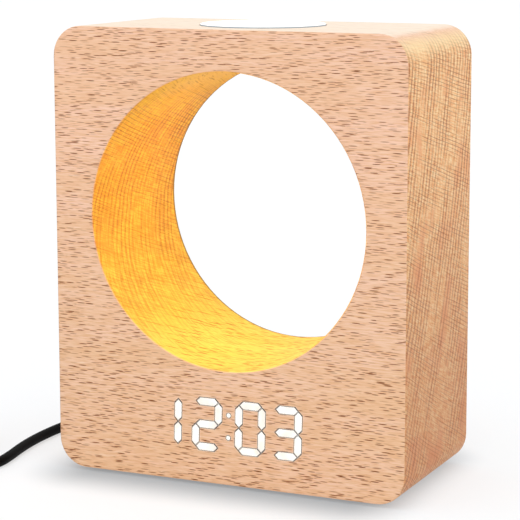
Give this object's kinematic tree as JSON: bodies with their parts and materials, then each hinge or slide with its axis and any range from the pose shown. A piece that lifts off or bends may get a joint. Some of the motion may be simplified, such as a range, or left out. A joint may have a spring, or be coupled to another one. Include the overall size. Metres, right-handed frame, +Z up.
{
  "type": "wooden digital alarm clock",
  "caption": "Free-standing beech block clock with a round lamp opening over a seven-segment LED display, touch lamp in its top, buttons and power socket in its back.",
  "frame": {"origin": "on the ground, under the middle of the block: the feet's undersides are at z = 0", "axes": "+Z up, -Y out of the display, +X to the right as the display is read"},
  "size_m": [0.2147, 0.1416, 0.1516],
  "materials": {
    "wood": "smooth beech, clear matt oil, short dark rays along the grain",
    "lamp_shade": "opal acrylic, lit from behind",
    "lit_figures": "lit LED figures showing through the wood's skin",
    "light_guide": "milky acrylic",
    "white_plastic": "moulded, fine grain",
    "dark_plastic": "moulded, fine spark texture",
    "black_plastic": "moulded, satin",
    "circuit_board": "green solder mask",
    "steel": "nickel plated",
    "copper": "bare, lightly tarnished",
    "rubber": "soft, matt",
    "cord_jacket": "smooth PVC jacket",
    "lead_jacket": "smooth PVC jacket"
  },
  "bodies": {
    "clock": {"wood_body": "wood", "wire_channel_cover": "wood", "top_diffuser": "lamp_shade", "lower_diffuser": "lamp_shade", "lamp_housing": "white_plastic", "lamp_led_board": "circuit_board", "touch_plate": "copper", "touch_contact": "copper", "lamp_lead": "lead_jacket", "lit_digit_1": "lit_figures", "lit_digit_2": "lit_figures", "lit_digit_3": "lit_figures", "lit_digit_4": "lit_figures", "lit_colon_upper": "lit_figures", "lit_colon_lower": "lit_figures", "digit_guide_1": "light_guide", "digit_guide_2": "light_guide", "digit_guide_3": "light_guide", "digit_guide_4": "light_guide", "colon_guide": "light_guide", "display_frame": "white_plastic", "display_board": "circuit_board", "main_board": "circuit_board", "buzzer": "black_plastic", "dc_socket": "black_plastic", "cell_holder": "white_plastic", "cell_contact": "copper", "coin_cell": "steel", "rear_cover": "dark_plastic", "button_switch_1": "steel", "cover_screw_1": "steel", "foot_1": "rubber", "button_switch_2": "steel", "cover_screw_2": "steel", "foot_2": "rubber", "button_switch_3": "steel", "cover_screw_3": "steel", "foot_3": "rubber", "button_switch_4": "steel", "cover_screw_4": "steel", "foot_4": "rubber", "dc_plug": "black_plastic", "dc_plug_barrel": "steel", "power_cord_run": "cord_jacket", "power_cord_coil": "cord_jacket", "power_cord_tail": "cord_jacket", "usb_plug": "black_plastic", "usb_plug_shell": "steel"},
    "button_1": {"button_cap_1": "black_plastic", "switch_plunger_1": "black_plastic"},
    "button_2": {"button_cap_2": "black_plastic", "switch_plunger_2": "black_plastic"},
    "button_3": {"button_cap_3": "black_plastic", "switch_plunger_3": "black_plastic"},
    "button_4": {"button_cap_4": "black_plastic", "switch_plunger_4": "black_plastic"},
    "door": {"cell_door": "dark_plastic"}
  },
  "joints": [
    {"name": "button_1_press", "type": "slide", "parent": "clock", "child": "button_1", "axis": [0, -1, 0], "range_m": [0, 0.0006], "stiffness_N_per_m": 400, "springref_m": -0.0005},
    {"name": "button_2_press", "type": "slide", "parent": "clock", "child": "button_2", "axis": [0, -1, 0], "range_m": [0, 0.0006], "stiffness_N_per_m": 400, "springref_m": -0.0005},
    {"name": "button_3_press", "type": "slide", "parent": "clock", "child": "button_3", "axis": [0, -1, 0], "range_m": [0, 0.0006], "stiffness_N_per_m": 400, "springref_m": -0.0005},
    {"name": "button_4_press", "type": "slide", "parent": "clock", "child": "button_4", "axis": [0, -1, 0], "range_m": [0, 0.0006], "stiffness_N_per_m": 400, "springref_m": -0.0005},
    {"name": "cell_door_turn", "type": "hinge", "parent": "clock", "child": "door", "pos_m": [-0.014, 0.0275, 0.021], "axis": [0, 1, 0], "range_deg": [0, 90]}
  ]
}
